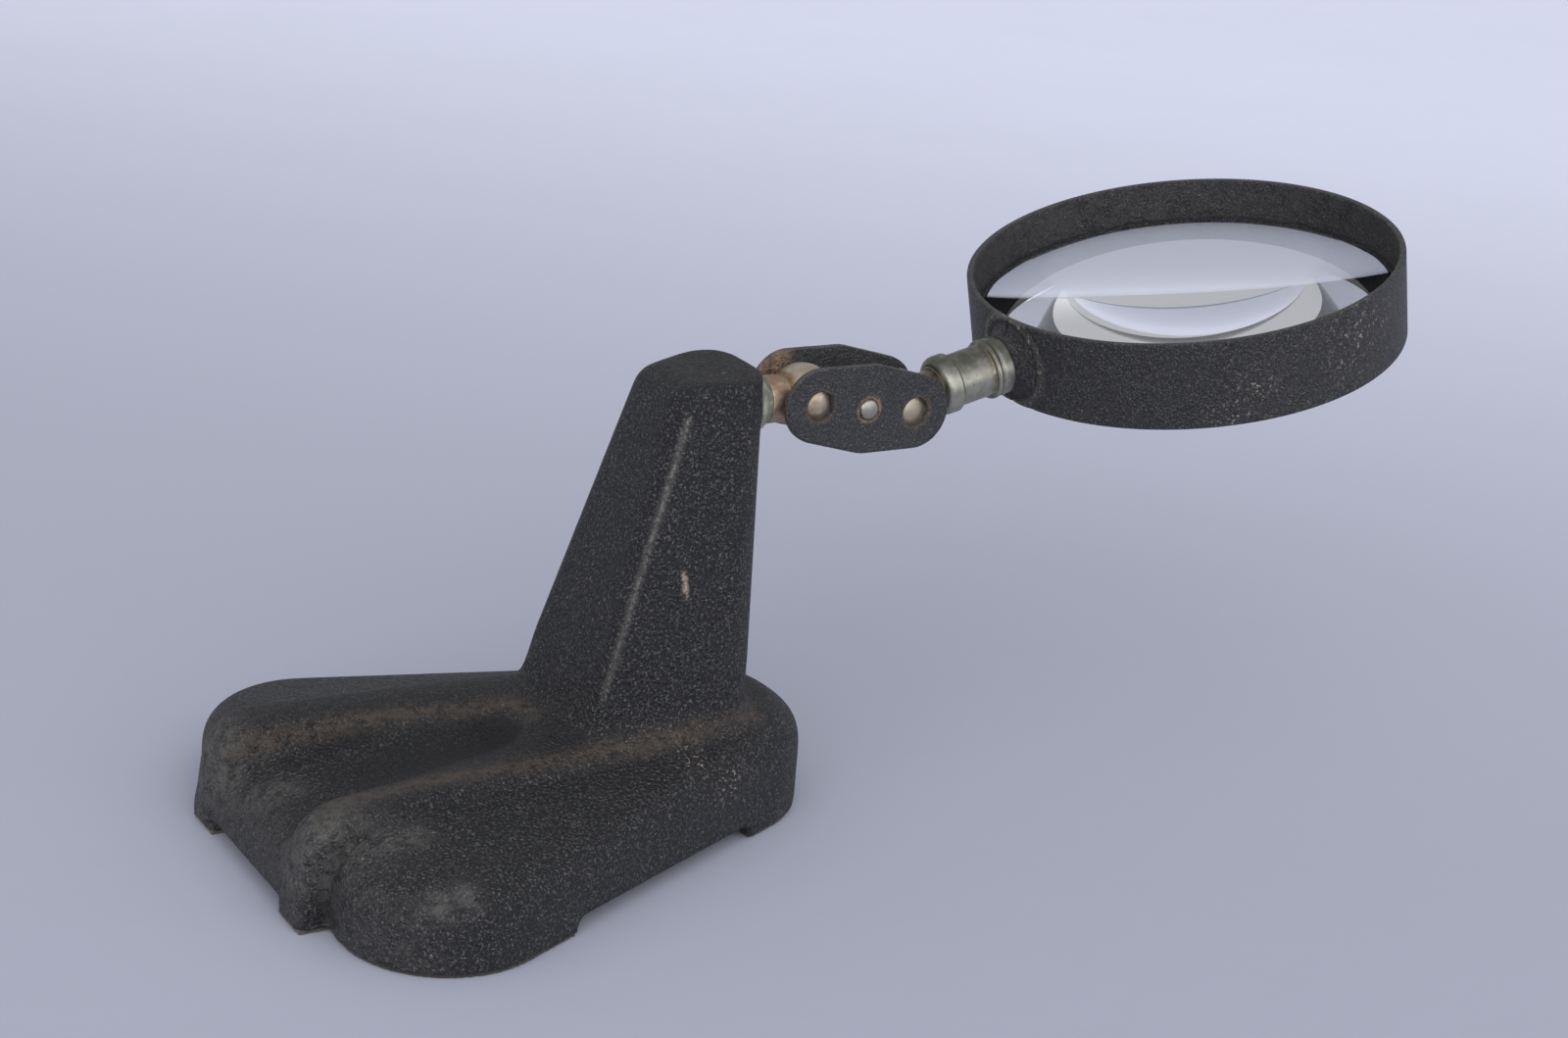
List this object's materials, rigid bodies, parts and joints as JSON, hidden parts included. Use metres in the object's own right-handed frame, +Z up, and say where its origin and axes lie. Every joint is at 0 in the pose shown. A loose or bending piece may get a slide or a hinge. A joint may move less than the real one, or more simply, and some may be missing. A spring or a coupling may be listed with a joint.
{
  "type": "table magnifier",
  "caption": "Table magnifier: cast foot and column, ball-jointed clamp link and a round lens in a metal band that swings, tilts and rolls.",
  "frame": {"origin": "on the table, below the middle of the whole magnifier's box", "axes": "+X from the column towards the lens, along the longest extent; +Y across; +Z up from the table"},
  "size_m": [0.3018, 0.1248, 0.1364],
  "materials": {
    "black_enamel": "fine wrinkle enamel on cast iron, worn along the edges",
    "plate_enamel": "satin enamel on steel plate, bare at the edges",
    "ring_enamel": "wrinkle enamel on a steel band",
    "tan_felt": "pressed felt, frayed",
    "worn_nickel": "worn nickel plate with tarnish",
    "plain_steel": "plain turned steel",
    "clear_glass": "polished"
  },
  "bodies": {
    "base": {"base_casting": "black_enamel", "rib_foot_felts": "tan_felt", "lobe_felts": "tan_felt", "nose_felt": "tan_felt"},
    "base_stud": {"base_ball_stud": "worn_nickel", "base_stud_collar": "worn_nickel", "base_stud_washer": "plain_steel", "base_stud_nut": "plain_steel"},
    "link": {"front_plate": "plate_enamel", "rear_plate": "plate_enamel", "clamp_screw": "worn_nickel", "clamp_washer": "plain_steel"},
    "lens_stud": {"lens_ball_stud": "worn_nickel", "lens_stud_collar": "worn_nickel"},
    "lens_head": {"neck_sleeve": "worn_nickel", "sleeve_pin": "plain_steel", "ring_band": "ring_enamel", "lens": "clear_glass", "upper_lens_ring": "ring_enamel", "lower_lens_ring": "ring_enamel"}
  },
  "joints": [
    {"name": "arm_roll", "type": "hinge", "parent": "base", "child": "base_stud", "pos_m": [-0.01559, 0, 0.0981], "axis": [1, 0, 0], "range_deg": [-90, 90]},
    {"name": "link_swing", "type": "hinge", "parent": "base_stud", "child": "link", "pos_m": [-0.01559, 0, 0.0981], "axis": [0, -1, 0], "range_deg": [-35, 70]},
    {"name": "lens_tilt", "type": "hinge", "parent": "link", "child": "lens_stud", "pos_m": [0.01114, 0, 0.09425], "axis": [0, -1, 0], "range_deg": [-35, 70]},
    {"name": "lens_roll", "type": "hinge", "parent": "lens_stud", "child": "lens_head", "pos_m": [0.01114, 0, 0.09425], "axis": [0.9748, 0, 0.2233], "continuous": true}
  ]
}
